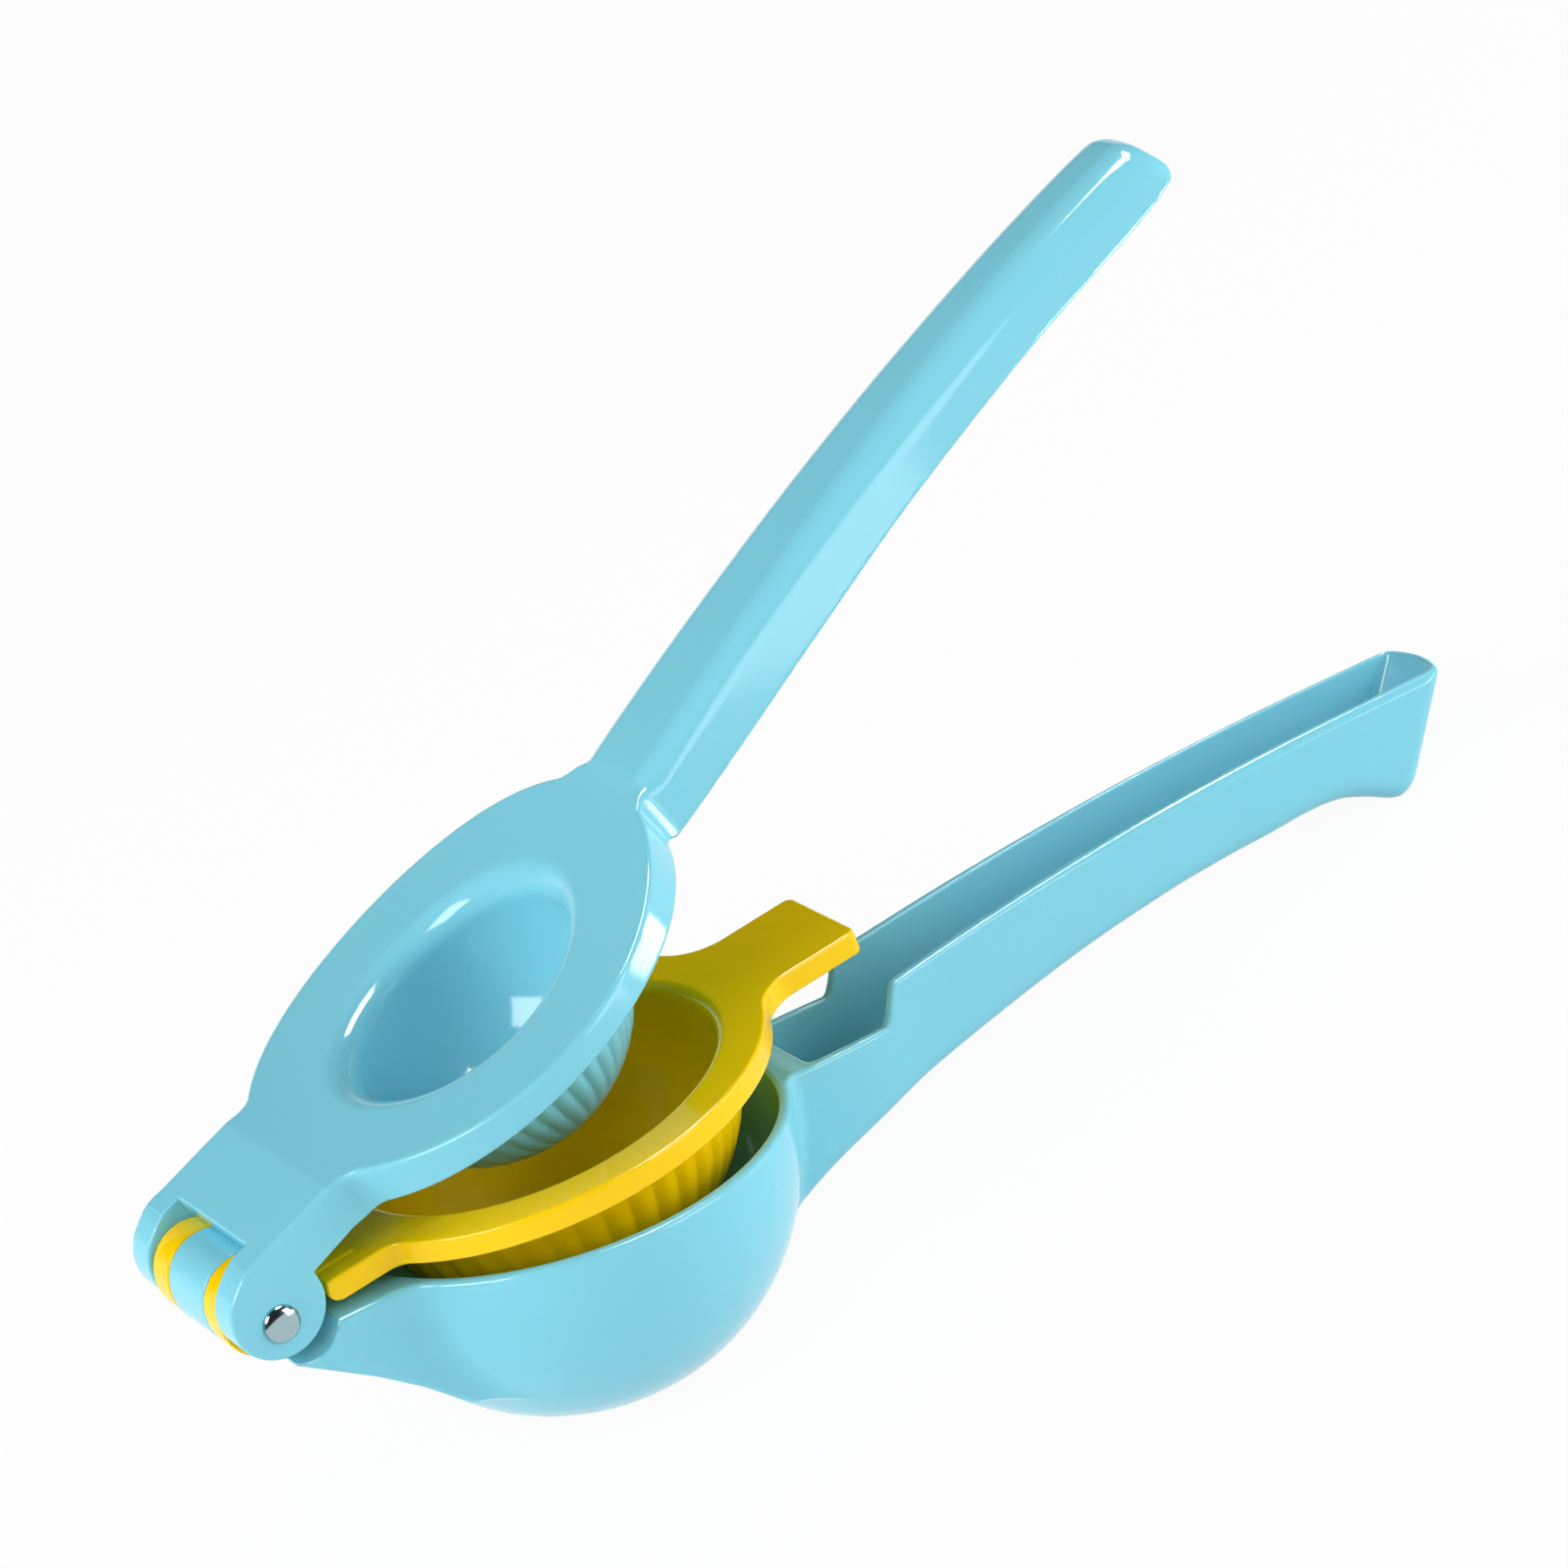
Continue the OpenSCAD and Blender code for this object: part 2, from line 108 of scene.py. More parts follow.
def round_and(a, b, radius):
    """What two solids share, with its edge rounded."""
    both = np.maximum(a, b)
    return np.minimum(-radius, both) + np.hypot(np.maximum(a + radius, 0), np.maximum(b + radius, 0))


def round_or(a, b, radius):
    """Two solids joined, with a fillet between them."""
    return -round_and(-a, -b, radius)


def cut(a, b, radius):
    """Solid a less solid b, with the edge of the cut rounded."""
    return round_and(a, -b, radius)


def rise(x, start, end):
    """Goes smoothly from 0 to 1 as x goes from start to end."""
    t = np.clip((x - start) / (end - start), 0, 1)
    return t * t * (3 - 2 * t)


def mix(a, b, t):
    """From a to b as t goes from 0 to 1."""
    return a + (b - a) * t


class Line:
    """A smooth curve through a few points [x, height], and its slope."""

    STEP = 0.1

    def __init__(self, points, change=None):
        self.x = np.arange(points[0][0], points[-1][0] + self.STEP / 2, self.STEP)
        px = np.array([p[0] for p in points], float)
        py = np.array([p[1] for p in points], float)
        low = np.r_[0, np.arange(len(px) - 1)]
        high = np.r_[np.arange(1, len(px)), len(px) - 1]
        slope = (py[high] - py[low]) / (px[high] - px[low])
        i = np.clip(np.searchsorted(px, self.x, side="right") - 1, 0, len(px) - 2)
        h = px[i + 1] - px[i]
        t = (self.x - px[i]) / h
        self.y = (
            py[i] * (1 + 2 * t) * (1 - t) ** 2
            + h * slope[i] * t * (1 - t) ** 2
            + py[i + 1] * t * t * (3 - 2 * t)
            - h * slope[i + 1] * t * t * (1 - t)
        )
        if change is not None:
            self.y = change(self.x, self.y)
        self.slope = np.gradient(self.y, self.x)

    def at(self, x):
        return np.interp(x, self.x, self.y)

    def above(self, x, z):
        """Distance above the line."""
        return (z - self.at(x)) / np.sqrt(1 + np.interp(x, self.x, self.slope) ** 2)


def oval(q, d, r, h, power=2.0):
    """Distance from a cup of radius r at its mouth and depth h, at d below the mouth."""
    u, v = np.abs(q) / r, np.maximum(d, 0) / h
    f = np.maximum((u**power + v**power) ** (1 / power), TINY)
    slope = np.hypot((u / f) ** (power - 1) / r, (v / f) ** (power - 1) / h)
    return (f - 1) / np.maximum(slope, TINY)


def rectangle(u, v, low_u, high_u, low_v, high_v):
    """Distance from a rectangle in the plane of u and v."""
    a = np.maximum(low_u - u, u - high_u)
    b = np.maximum(low_v - v, v - high_v)
    return np.minimum(np.maximum(a, b), 0) + np.hypot(np.maximum(a, 0), np.maximum(b, 0))


def spots(x, y, ring, count):
    """Distance from the nearest of a ring of points, the first half a step round from X."""
    nearest = np.full(np.shape(x), np.inf)
    for k in range(count):
        a = math.radians(360 / count * (k + 0.5))
        nearest = np.minimum(nearest, np.hypot(x - ring * math.cos(a), y - ring * math.sin(a)))
    return nearest


# ---- Sizes: mostly the CAD's, but at the hinge, the neck and the ends closer to the photograph ----

# bowl of the lower body
RIM_Z = -3.52
BOWL_X, BOWL_R, BOWL_DEPTH, BOWL_POWER = 54.15, 38.0, 39.3, 2.08
BOWL_WALL, BOWL_FLOOR = 2.1, 4.2
BOWL_HOLE_RING, BOWL_HOLE_R = 6.0, 1.6

# lime cup
CUP_X, CUP_TOP, CUP_BOTTOM = 54.46, 0.86, -3.08
CUP_FLANGE_R, CUP_R, CUP_MOUTH_R, CUP_DEPTH, CUP_Z = 38.1, 31.5, 29.8, 28.0, -2.4
CUP_FLOOR = 1.7
CUP_HOLE_RING, CUP_OUTER_RING, CUP_HOLE_R, OUTER_RING_BELOW = 6.5, 12, 1.7, -20
TAB_FROM, TAB_END, TAB_HALF, TAB_CORNER = 60, 109.5, 10.7, 1.6
SHOULDER_X, SHOULDER_TO, SHOULDER_HALF, HEEL_TO = 8.4, 40, 17.2, 20

# press
PRESS_X, PRESS_BOTTOM, PRESS_TOP, PRESS_FLANGE_R = 55.66, 1.06, 5.6, 38.1
DISH = 0.0027
DOME_X, DOME_R, DOME_DEPTH, DOME_SUNK = 55.2, 24.5, 24.3, 0.5
RECESS_R, RECESS_FLOOR = 20.2, 3
NECK_TOP, NECK_FALL, NECK_BOTTOM, NECK_TO = 10.1, 0.043, 1.5, 40
NECK_FILLET, FLANGE_FILLET_FAR, FLANGE_FILLET_NEAR = 1.5, 4.0, 3.0

# number and depth of flutes, how blunt their ribs are, and where they fade out down the cup
FLUTES, FLUTE_D, FLUTE_BLUNT = 44, 0.55, 0.015
FLUTE_FADE = (0.35, 0.95)

# hinge: faces of the knuckle stack from the middle plane, ears, knuckles, pin and the room round each
HINGE_HALF = 18.8
EAR_IN, CUP_OUT, CUP_IN, MIDDLE = 12.55, 12.35, 6.65, 6.45
EAR_X, EAR_Z, EAR_R = 1.05, 1.65, 7.65
EAR_BACK = (1.55, NECK_TOP - EAR_R - EAR_Z - 0.1)
KNUCKLE_R, CUP_KNUCKLE_R, KNUCKLE_TALL = 7.1, 7.05, 0.6
PIN_R, PIN_HEAD_R, PIN_HEAD_H, PIN_HEAD_POWER = 2.25, 2.95, 1.25, 0.8
PIN_GAP, PIN_FIT, BORE_PAST = 0.05, 0.02, 1
CUP_ROOM, CUP_SIDE_ROOM, MIDDLE_ROOM, EAR_ROOM = 0.35, 0.4, 0.4, 0.34
MIDDLE_WEB_TO, CUP_WEB_TO = 14, 16
POCKET_X, POCKET_Z, POCKET_R = 3.1, -2.4, 5.4
POCKET_BACK_X, POCKET_BACK_Z = 0.5, -7.4
SLOT_X, SLOT_TO, SLOT_UNDER = 5.1, 14, 0.02

# block under the hinge
BLOCK_FROM, BLOCK_TO, BLOCK_BOTTOM = 0.1, 30, -25.8
RAMP = [(-6, -4.6), (0.6, -7.9), (7.4, -12.4), (12.2, -15.6), (18.2, -20.3), (24, -25.7), (32, -34)]

# handles: where they grow out of the bowl and the flange, their ends and their channels
HANDLE_FROM, HANDLE_WALL = 76, 1.8
HANDLE_END, END_BOW, END_LEAN = 223.0, 30.0, 0.58
PRESS_END, PRESS_BOW, PRESS_LEAN, PRESS_END_Z = 222.8, 60.0, 0.36, 11
CHANNEL_FROM, CHANNEL_LEAN, CHANNEL_DEEPEST = 95.8, 0.2, 20
PRESS_CHANNEL_FROM, PRESS_ROOF = 96, 2.2
LOW_WALL_Z, CREST_X, CREST_Z, CREST_DROP = -4.0, 204, 9.4, 0.00085

# from where to where along X one height goes over into the next
WALL_FALL, WALL_STEP = (91, 96), (108.9, 112.9)
NECK_TO_FLANGE, FLANGE_TO_CROWN, FLANGE_TO_EDGE = (17, 21), (92, 98), (92, 94.5)


def arch(x):
    """Top of the lower handle's walls: level by the bowl, a step, then a long arch."""
    high = CREST_Z - CREST_DROP * np.maximum(CREST_X - x, 0) ** 2
    low = mix(RIM_Z, LOW_WALL_Z, rise(x, *WALL_FALL))
    return mix(low, high, rise(x, *WALL_STEP))


def press_height(x, crown):
    """Top of the press: nearly level neck, dished flange, then the crown of the handle."""
    dish = PRESS_TOP + DISH * (x - PRESS_X) ** 2
    neck = NECK_TOP - np.where(x < NECK_TO, NECK_FALL * x, 0)
    lower = round_or(dish, neck, radius=0.05)
    return np.where(x < FLANGE_TO_CROWN[0], lower, mix(lower, crown, rise(x, *FLANGE_TO_CROWN)))


ALL_ALONG = [[-20, 0], [240, 0]]
WALL_TOP = Line(ALL_ALONG, lambda x, y: arch(x))
UNDER = Line(
    [[60, -40], [78, -30.2], [92, -23.2], [104, -18.8], [118, -14.6], [144, -8.85], [164, -5.95],
     [176, -5], [184, -4.7], [192, -4.25], [198, -4.75], [203, -6.6], [208, -8.85], [214, -9.2],
     [230, -9.2]]
)
FLOOR = Line(
    [[78, -29], [92, -21.8], [104, -17.2], [118, -12.6], [144, -7.1], [164, -4.5], [182, -3.3],
     [214, -1.5], [240, -0.2]]
)
WIDTH = Line(
    [[60, 12], [84, 11.6], [96, 11.1], [106, 10.8], [114, 10.0], [124, 9.6], [152, 9.0],
     [190, 8.6], [224, 8.25], [240, 8.1]]
)
CROWN = Line(
    [[60, 3.2], [78, 5.9], [88, 8.1], [96, 10.3], [130, 15.4], [160, 18.5], [190, 19.9],
     [212, 19.6], [224, 18.5], [240, 17]]
)
EDGE = Line(
    [[60, -1], [78, -0.8], [92, -0.5], [104, 0.7], [130, 4.1], [152, 6.9], [172, 8.5], [190, 9.3],
     [215, 9.5], [224, 11], [240, 14]]
)
PRESS_WIDTH = Line(
    [[60, 10.5], [78, 10.3], [100, 10], [130, 9.3], [160, 8.8], [190, 8.4], [224, 8], [240, 7.9]]
)
PRESS_LINE = Line(ALL_ALONG, lambda x, y: press_height(x, CROWN.at(x)))


# ---- Forms that two castings share ----


def knuckle(x, z, r):
    """Distance from a knuckle, which is a little taller than round."""
    return np.hypot(x, z - np.clip(z, 0, KNUCKLE_TALL)) - r


def ear_round(x, z):
    """Distance from the round front of the ears."""
    return np.hypot(x - EAR_X, z - EAR_Z) - EAR_R


def flute(x, y, d, h):
    """How far the flutes cut in: sharp valleys between round ribs, fading out down the cup."""
    turn = np.arctan2(y, x)
    rib = np.sqrt(np.cos(turn * FLUTES / 2) ** 2 + FLUTE_BLUNT)
    return FLUTE_D * (1 - np.minimum(rib, 1)) * (1 - rise(d / h, *FLUTE_FADE))


# ---- Lower body ----


def lower_solid(x, y, z):
    """Bowl, channel handle and the hinge block with its middle knuckle."""
    ay = np.abs(y)
    depth = RIM_Z - z
    q = np.hypot(x - BOWL_X, y)
    body = oval(q, depth, BOWL_R, BOWL_DEPTH, BOWL_POWER)
    body = round_or(body, lower_handle(x, ay, z), radius=2.5)
    body = round_or(body, hinge_block(x, ay, z), radius=3.0)
    # radius of the walls' top edge: 1 mm round the bowl, 0.8 past it and 1.6 at the handle's end
    edge = 1.0 + 0.8 * rise(x, 120, 200) - 0.2 * rise(x, 88, 96)
    body = round_and(body, WALL_TOP.above(x, z), edge)

    body = cut(body, np.maximum(ear_pocket(x, z), EAR_IN - ay), radius=0.35)
    cup_side = ay - EAR_IN - CUP_SIDE_ROOM
    body = cut(body, np.maximum(knuckle(x, z, CUP_KNUCKLE_R + CUP_ROOM), cup_side), radius=0.3)
    middle = np.minimum(knuckle(x, z, KNUCKLE_R), knuckle_web(x, z))
    body = np.minimum(body, round_and(middle, ay - MIDDLE, radius=0.4))

    inside = oval(q, depth, BOWL_R - BOWL_WALL, BOWL_DEPTH - BOWL_FLOOR, BOWL_POWER)
    body = cut(body, inside, radius=0.8)
    body = cut(body, channel(x, ay, z), radius=0.45)
    bore = np.maximum(np.hypot(x, z) - PIN_R - PIN_GAP, ay - MIDDLE - BORE_PAST)
    body = np.maximum(body, -bore)
    body = cut(body, drain_holes(x - BOWL_X, y, BOWL_HOLE_RING, BOWL_HOLE_R), radius=0.4)
    table = math.cos(REST_TILT) * z - math.sin(REST_TILT) * x + HINGE.z / MM
    return np.maximum(body, -table)


def lower_handle(x, ay, z):
    """The outside of the lower handle, not yet cut to the walls' top."""
    handle = round_and(ay - WIDTH.at(x), lower_end(x, ay, z, 0), radius=2.4)
    handle = round_and(handle, -UNDER.above(x, z), radius=3.2)
    return np.maximum(handle, HANDLE_FROM - x)


def lower_end(x, y, z, inset):
    """Distance beyond the handle's end wall, which is bowed and leans outwards to its top."""
    beyond = x + y**2 / END_BOW - HANDLE_END + inset
    return (beyond - (z - CREST_Z) * END_LEAN) / math.hypot(1, END_LEAN)


def channel(x, ay, z):
    """The open channel of the handle, from just behind the bowl to the end wall."""
    half = WIDTH.at(x) - HANDLE_WALL
    start = CHANNEL_FROM - CHANNEL_LEAN * np.clip(RIM_Z - z, 0, CHANNEL_DEEPEST) - x
    trough = round_and(ay - half, -FLOOR.above(x, z), radius=1.8)
    trough = round_and(trough, start, radius=1.5)
    return round_and(trough, lower_end(x, ay, z, HANDLE_WALL), radius=1.0)


def hinge_block(x, ay, z):
    """The block that carries the hinge, between the bowl and the ramp under it."""
    block = round_and(ay - HINGE_HALF, below_ramp(x, z), radius=1.2)
    block = np.maximum(block, np.maximum(x - BLOCK_TO, BLOCK_FROM - x))
    return np.maximum(block, BLOCK_BOTTOM - z)


def below_ramp(x, z):
    """Distance below the ramp under the hinge, which steepens towards the bowl."""
    result = np.full(np.shape(x), np.inf)
    for (ax, az), (bx, bz) in zip(RAMP, RAMP[1:]):
        length = math.hypot(bx - ax, bz - az)
        result = np.minimum(result, ((z - az) * (ax - bx) + (x - ax) * (bz - az)) / length)
    return result


def ear_pocket(x, z):
    """Room for an ear of the press in the side of the block."""
    corner = np.hypot(x - POCKET_X, z - POCKET_Z) - POCKET_R
    above = np.maximum(x - POCKET_X - POCKET_R, POCKET_Z - z)
    behind = np.maximum(x - POCKET_BACK_X, POCKET_BACK_Z - z)
    return np.minimum(np.minimum(corner, above), behind)


def knuckle_web(x, z):
    """Joins the middle knuckle to the block."""
    across = np.maximum(-x, x - MIDDLE_WEB_TO)
    return np.maximum(across, np.maximum(z - RIM_Z, below_ramp(x, z)))


def drain_holes(x, y, ring, r):
    """One hole in the middle and six round it."""
    return np.minimum(np.hypot(x, y), spots(x, y, ring, 6)) - r


# ---- Lime cup ----


def cup_solid(x, y, z):
    """Flange with tab and shoulders, fluted cup with drain holes, and two knuckles."""
    ay = np.abs(y)
    cx = x - CUP_X
    thick = np.maximum(CUP_BOTTOM - z, z - CUP_TOP)
    flange = round_and(cup_plan(x, y), thick, radius=0.45)
    heel = round_and(SHOULDER_X - x, CUP_BOTTOM - z, radius=2.6)
    flange = np.maximum(flange, np.where(x < HEEL_TO, heel, -FAR))
    q = np.hypot(cx, y)
    d = CUP_Z - z
    bowl = oval(q + flute(cx, y, np.maximum(d, 0), CUP_DEPTH), d, CUP_R, CUP_DEPTH)
    body = round_or(flange, np.maximum(bowl, z), radius=1.2)

    sides = np.maximum(CUP_IN - ay, ay - CUP_OUT)
    arm = round_and(knuckle(x, z, CUP_KNUCKLE_R), sides, radius=0.25)
    web = np.maximum(np.maximum(x - CUP_WEB_TO, -x), sides)
    arm = np.minimum(arm, np.maximum(web, thick))
    body = round_or(body, arm, radius=0.8)
    middle = np.maximum(knuckle(x, z, KNUCKLE_R + MIDDLE_ROOM), ay - CUP_IN)
    body = cut(body, middle, radius=0.3)
    ears = np.maximum(ear_round(x, z) - EAR_ROOM, CUP_OUT - ay)
    body = cut(body, ears, radius=0.3)

    inside = cut(z - CUP_TOP, oval(q, d, CUP_MOUTH_R, CUP_DEPTH - CUP_FLOOR), radius=1.9)
    body = np.maximum(body, np.where(x > CUP_WEB_TO, inside, -FAR))
    body = cut(body, drain_holes(cx, y, CUP_HOLE_RING, CUP_HOLE_R), radius=0.35)
    outer_ring = spots(cx, y, CUP_OUTER_RING, 12) - CUP_HOLE_R
    body = cut(body, np.maximum(outer_ring, z - OUTER_RING_BELOW), radius=0.35)
    return np.maximum(body, PIN_R + PIN_GAP - np.hypot(x, z))


def cup_plan(x, y):
    """Plan of the cup's top: a round flange, the thumb tab and the shoulders by the hinge."""
    flange = np.hypot(x - CUP_X, y) - CUP_FLANGE_R
    end, half = TAB_END - TAB_CORNER, TAB_HALF - TAB_CORNER
    tab = rectangle(x, y, TAB_FROM, end, -half, half) - TAB_CORNER
    shoulders = rectangle(x, y, SHOULDER_X, SHOULDER_TO, -SHOULDER_HALF, SHOULDER_HALF)
    return round_or(round_or(flange, tab, radius=5.0), shoulders, radius=1.6)


# ---- Press ----


def press_solid(x, y, z):
    """Flange, handle, hollow fluted dome, and a neck that ends in two ears."""
    ay = np.abs(y)
    flange = np.hypot(x - PRESS_X, y) - PRESS_FLANGE_R
    handle = np.maximum(ay - PRESS_WIDTH.at(x), HANDLE_FROM - x)
    neck = rectangle(x, y, EAR_X, NECK_TO, -HINGE_HALF, HINGE_HALF)
    plan = round_or(flange, handle, np.where(y > 0, FLANGE_FILLET_FAR, FLANGE_FILLET_NEAR))
    plan = round_or(plan, neck, NECK_FILLET)
    bottom = mix(NECK_BOTTOM, PRESS_BOTTOM, rise(x, *NECK_TO_FLANGE))
    bottom = mix(bottom, EDGE.at(x), rise(x, *FLANGE_TO_EDGE))
    body = round_and(plan, bottom - z, radius=0.5)
    # radius of the top edge: 0.8 mm round the flange, 3.7 along the handle and 6 at its end
    top = PRESS_LINE.above(x, z)
    edge = 0.8 + (2.9 + 2.3 * rise(x, 96, 206)) * rise(flange - handle, 0, 5)
    body = round_and(body, top, edge)
    body = round_and(body, press_end(x, y, z, 0), radius=2.4)

    dx = x - DOME_X
    q = np.hypot(dx, y)
    d = PRESS_BOTTOM + DOME_SUNK - z
    fluted = q + flute(dx, y, np.maximum(d, 0), DOME_DEPTH)
    dome = oval(fluted, d, DOME_R, DOME_DEPTH + DOME_SUNK)
    body = round_or(body, np.maximum(dome, z - PRESS_TOP), radius=1.0)
    hollow = oval(q, PRESS_BOTTOM - z, RECESS_R, DOME_DEPTH - RECESS_FLOOR)
    body = np.maximum(body, cut(top, hollow, radius=4.3))
    body = cut(body, press_channel(x, ay, z), radius=0.6)

    slot = np.maximum(ay - EAR_IN, np.minimum(x - SLOT_X, z - NECK_BOTTOM + SLOT_UNDER))
    body = cut(body, np.maximum(slot, x - SLOT_TO), radius=0.35)
    body = np.minimum(body, press_ear(x, ay, z))
    return np.maximum(body, PIN_R + PIN_FIT - np.hypot(x, z))


def press_end(x, y, z, inset):
    """Distance beyond the press handle's end, which is bowed and leans outwards downwards."""
    beyond = x + y**2 / PRESS_BOW - PRESS_END + inset
    return (beyond + PRESS_LEAN * (z - PRESS_END_Z)) / math.hypot(1, PRESS_LEAN)


def press_channel(x, ay, z):
    """The channel on the underside of the press handle."""
    half = PRESS_WIDTH.at(x) - HANDLE_WALL
    trough = round_and(ay - half, PRESS_LINE.above(x, z) + PRESS_ROOF, radius=3.0)
    trough = round_and(trough, press_end(x, ay, z, HANDLE_WALL), radius=2.0)
    return round_and(trough, PRESS_CHANNEL_FROM - x, radius=1.5)


def press_ear(x, ay, z):
    """An ear: round in front, and with a back that rises round a second centre to the neck's top."""
    back_x, back_z = EAR_BACK
    along = np.clip(((x - EAR_X) * back_x + (z - EAR_Z) * back_z) / (back_x**2 + back_z**2), 0, 1)
    back = np.hypot(x - EAR_X - back_x * along, z - EAR_Z - back_z * along) - EAR_R
    ear = np.minimum(ear_round(x, z), np.maximum(back, NECK_BOTTOM - z))
    ear = round_and(ear, ay - HINGE_HALF, radius=0.6)
    return round_and(ear, EAR_IN - ay, radius=0.35)


# ---- Mesh through the zero distance ----

COARSE = 4  # grid points along each side of a coarse block
REACH = 1.6  # blocks from the surface, within which distances are worked out
CHUNK = 400_000  # points worked out at a time
LEAST_SLOPE = 0.05  # least squared slope to divide by
EVEN_OUT = 0.5  # share of the way that a vertex moves to the middle of its neighbours
FURTHEST_MOVE = 0.4  # most millimetres that a vertex moves onto the surface in one round
NORMAL_REACH = 0.12  # millimetres to each side over which normals are taken


def sample(solid, low, high, cell):
    """Distances on a grid, worked out only near the surface. Elsewhere they only have their sign."""
    counts = [int(math.ceil((h - l) / (cell * COARSE))) + 1 for l, h in zip(low, high)]
    axes = [l + cell * np.arange(n * COARSE, dtype=np.float32) for l, n in zip(low, counts)]
    middles = [a[::COARSE] + cell * (COARSE - 1) / 2 for a in axes]
    grid = np.meshgrid(*middles, indexing="ij")
    coarse = solid(*[g.ravel() for g in grid]).reshape(grid[0].shape)
    near = np.abs(coarse) < cell * COARSE * REACH
    field = np.where(coarse > 0, np.float32(FAR), np.float32(-FAR))
    for axis in range(3):
        field = np.repeat(field, COARSE, axis=axis)
        near = np.repeat(near, COARSE, axis=axis)
    places = np.nonzero(near)
    values = np.empty(len(places[0]), np.float32)
    for start in range(0, len(values), CHUNK):
        part = slice(start, start + CHUNK)
        values[part] = solid(*[a[s[part]] for a, s in zip(axes, places)])
    field[places] = values
    return field, axes


def surface_net(field, axes):
    """Vertices and quads of the surface between the grid's inside and outside points."""
    cells = np.array(field.shape) - 1
    inside = field < 0
    owners, sums, quads = [], [], []
    for axis in range(3):
        b, c = [(1, 2), (2, 0), (0, 1)][axis]
        low = [slice(None)] * 3
        high = [slice(None)] * 3
        low[axis], high[axis] = slice(None, -1), slice(1, None)
        crossed = np.nonzero(inside[tuple(low)] != inside[tuple(high)])
        keep = (crossed[b] > 0) & (crossed[c] > 0) & (crossed[b] < cells[b]) & (crossed[c] < cells[c])
        spot = np.stack([s[keep] for s in crossed], 1)
        first = field[tuple(spot.T)].astype(float)
        ahead = spot.copy()
        ahead[:, axis] += 1
        second = field[tuple(ahead.T)].astype(float)
        point = spot.astype(float)
        point[:, axis] += first / (first - second)
        corners = []
        for db, dc in ((-1, -1), (0, -1), (0, 0), (-1, 0)):
            cell = spot.copy()
            cell[:, b] += db
            cell[:, c] += dc
            corners.append(np.ravel_multi_index(cell.T, cells))
        corners = np.stack(corners, 1)
        quads.append(np.where((first < 0)[:, None], corners, corners[:, ::-1]))
        owners.append(corners.ravel())
        sums.append(np.repeat(point, 4, axis=0))
    used, index = np.unique(np.concatenate(owners), return_inverse=True)
    sums = np.concatenate(sums)
    count = np.bincount(index)
    vertices = np.stack([np.bincount(index, sums[:, k]) / count for k in range(3)], 1)
    step = float(axes[0][1] - axes[0][0])
    vertices = np.array([a[0] for a in axes], float) + vertices * step
    faces = np.searchsorted(used, np.concatenate(quads))
    return vertices, faces


def gradient(solid, points, step=0.06):
    """Direction in which the distance grows, at each point."""
    result = np.empty_like(points)
    for axis in range(3):
        move = np.zeros(3)
        move[axis] = step
        result[:, axis] = solid(*(points + move).T) - solid(*(points - move).T)
    return result / (2 * step)


def neighbours_middle(points, pairs):
    """The middle of each point's neighbours, from the pairs of points that edges join."""
    count = np.bincount(pairs.ravel(), minlength=len(points))
    middle = np.empty_like(points)
    for axis in range(3):
        total = np.bincount(pairs[:, 0], points[pairs[:, 1], axis], len(points))
        total += np.bincount(pairs[:, 1], points[pairs[:, 0], axis], len(points))
        middle[:, axis] = total / count
    return middle


def settle(solid, points, faces, rounds=3):
    """Evens out the vertices along the surface and moves them onto it."""
    pairs = np.concatenate([faces[:, [k, (k + 1) % 4]] for k in range(4)])
    for turn in range(rounds):
        slope = gradient(solid, points)
        size = np.maximum((slope**2).sum(1), LEAST_SLOPE)
        normal = slope / np.sqrt(size)[:, None]
        if turn < rounds - 1:
            shift = (neighbours_middle(points, pairs) - points) * EVEN_OUT
            points = points + shift - normal * (shift * normal).sum(1)[:, None]
        distance = solid(*points.T)
        points = points - slope * np.clip(distance / size, -FURTHEST_MOVE, FURTHEST_MOVE)[:, None]
    return points


def cast(name, solid, low, high, cell, place):
    """The mesh object of a casting, with the normals of its true surface."""
    field, axes = sample(solid, low, high, cell)
    points, faces = surface_net(field, axes)
    points = settle(solid, points, faces)
    normals = gradient(solid, points, NORMAL_REACH)
    normals /= np.linalg.norm(normals, axis=1)[:, None]
    mesh = bpy.data.meshes.new(name)
    mesh.vertices.add(len(points))
    mesh.vertices.foreach_set("co", points.astype(np.float32).ravel())
    mesh.loops.add(faces.size)
    mesh.loops.foreach_set("vertex_index", faces.astype(np.int32).ravel())
    mesh.polygons.add(len(faces))
    mesh.polygons.foreach_set("loop_start", np.arange(0, faces.size, 4, dtype=np.int32))
    mesh.update(calc_edges=True)
    mesh.validate()
    mesh.shade_smooth()
    mesh.normals_split_custom_set_from_vertices(normals.astype(np.float32))
    mesh.transform(place)
    mesh.update()
    obj = bpy.data.objects.new(name, mesh)
    bpy.context.scene.collection.objects.link(obj)
    print("cast", name, len(points), "vertices", len(faces), "faces")
    return obj


# ---- Pin ----


